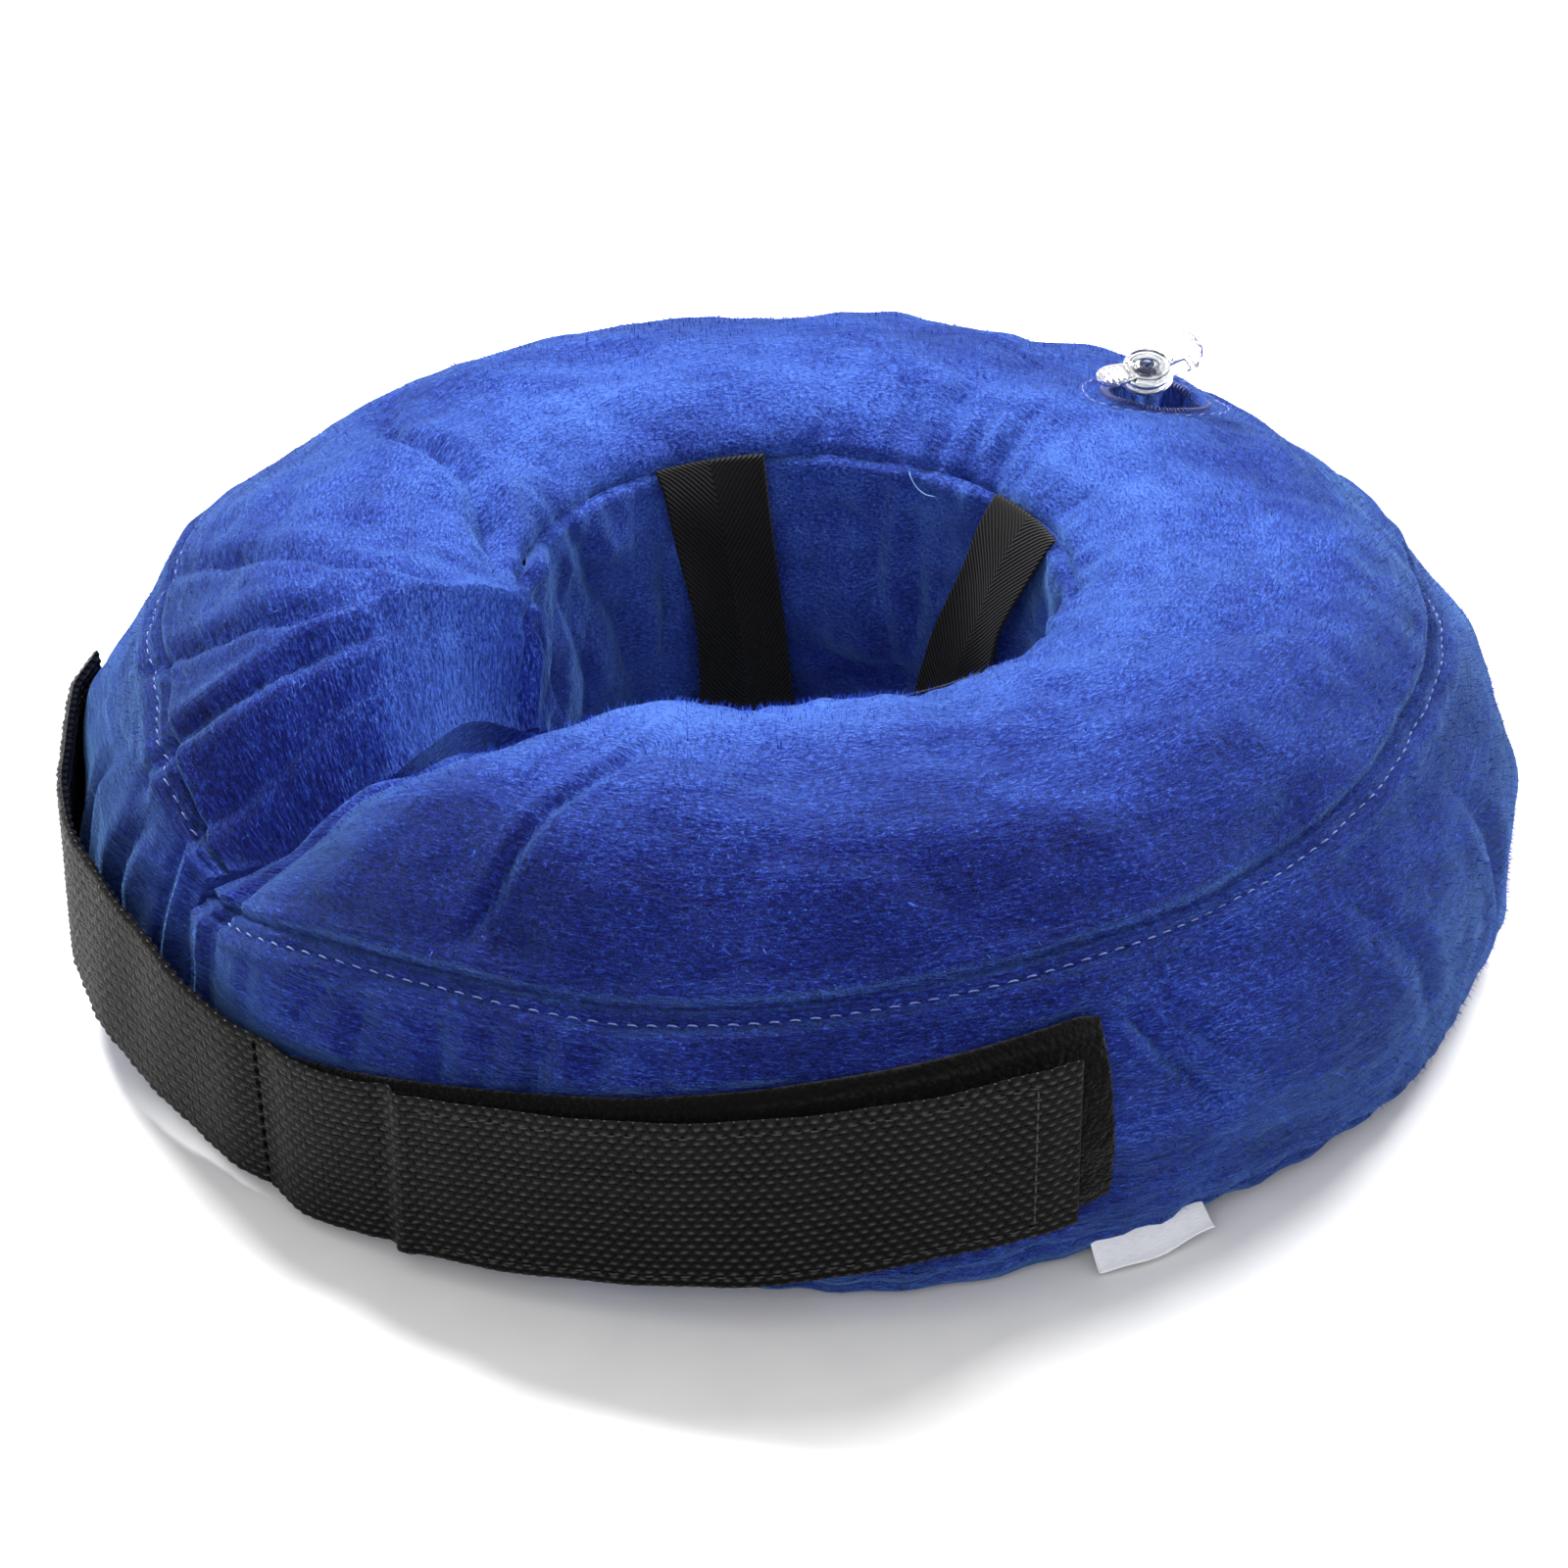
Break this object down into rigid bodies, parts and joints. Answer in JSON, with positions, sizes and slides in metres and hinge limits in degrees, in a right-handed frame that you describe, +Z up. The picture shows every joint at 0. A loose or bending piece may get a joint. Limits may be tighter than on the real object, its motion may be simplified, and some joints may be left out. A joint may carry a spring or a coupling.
{
  "type": "inflatable recovery collar",
  "caption": "Soft plush-covered inflatable ring, split at the front, that closes round a pet's neck with a hook-and-loop webbing strap.",
  "frame": {"origin": "centre of the ring, on the plane that its bottom rests on", "axes": "+Z up along the ring's axis; the split is near -Y and the ring flexes at +Y; +X is the side that the strap closes onto"},
  "size_m": [0.3127, 0.3142, 0.1034],
  "materials": {
    "plush": "matte",
    "bladder_film": "satin",
    "clear_vinyl": "gloss",
    "webbing": "satin",
    "twill_tape": "matte",
    "hook_tape": "matte",
    "loop_tape": "matte",
    "thread": "satin",
    "satin": "satin",
    "zip_cloth": "matte",
    "zip_coil": "satin",
    "zip_metal": "satin"
  },
  "bodies": {
    "ring_left": {"top_panel_left": "plush", "outer_panel_left": "plush", "bottom_panel_left": "plush", "neck_panel_left": "plush", "end_panel_left": "plush", "bladder_left": "bladder_film", "valve_flange": "clear_vinyl", "buttonhole_binding": "thread", "neck_loop_left": "twill_tape", "neck_loop_back": "twill_tape", "strap_root": "webbing", "zip_tape_lower": "zip_cloth", "zip_tape_upper": "zip_cloth", "zip_coil_lower": "zip_coil", "zip_coil_upper": "zip_coil", "zip_stop_start": "zip_metal", "zip_stop_end": "zip_metal"},
    "ring_right": {"top_panel_right": "plush", "outer_panel_right": "plush", "bottom_panel_right": "plush", "neck_panel_right": "plush", "end_panel_right": "plush", "bladder_right": "bladder_film", "neck_loop_right": "twill_tape", "loop_patch": "loop_tape", "care_label": "satin"},
    "strap": {"strap_webbing": "webbing"},
    "strap_end": {"strap_end_webbing": "webbing", "hook_tape": "hook_tape"},
    "valve_stem": {"valve_stem": "clear_vinyl", "check_flap": "clear_vinyl", "tether_collar": "clear_vinyl"},
    "stopper": {"stopper": "clear_vinyl"},
    "zip_slider": {"zip_slider": "zip_metal"},
    "zip_pull": {"zip_pull": "zip_metal"}
  },
  "joints": [
    {"name": "ring_spread", "type": "hinge", "parent": "ring_left", "child": "ring_right", "pos_m": [0, 0.155, 0.04], "axis": [0, 0, 1], "range_deg": [0, 16], "stiffness_Nm_per_rad": 2},
    {"name": "strap_swing", "type": "hinge", "parent": "ring_left", "child": "strap", "pos_m": [-0.06944, -0.14237, 0.032], "axis": [0, 0, -1], "range_deg": [0, 88]},
    {"name": "strap_peel", "type": "hinge", "parent": "strap", "child": "strap_end", "pos_m": [0.08743, -0.13209, 0.023], "axis": [0, 0, -1], "range_deg": [0, 95]},
    {"name": "valve_press", "type": "slide", "parent": "ring_left", "child": "valve_stem", "axis": [-0.2753, 0.1403, -0.9511], "range_m": [0, 0.0018]},
    {"name": "stopper_open", "type": "hinge", "parent": "valve_stem", "child": "stopper", "pos_m": [-0.02275, 0.11175, 0.09382], "axis": [-0.9558, 0.0666, 0.2865], "range_deg": [0, 130]},
    {"name": "zip_travel", "type": "hinge", "parent": "ring_left", "child": "zip_slider", "pos_m": [0, 0, 0.016], "axis": [0, 0, 1], "range_deg": [0, 76]},
    {"name": "zip_pull_swing", "type": "hinge", "parent": "zip_slider", "child": "zip_pull", "pos_m": [-0.08089, 0.13046, 0.016], "axis": [0, 0, 1], "range_deg": [0, 150]}
  ],
  "couplings": [
    {"joint": "strap_swing", "follows": "ring_spread", "ratio": 5.5}
  ]
}
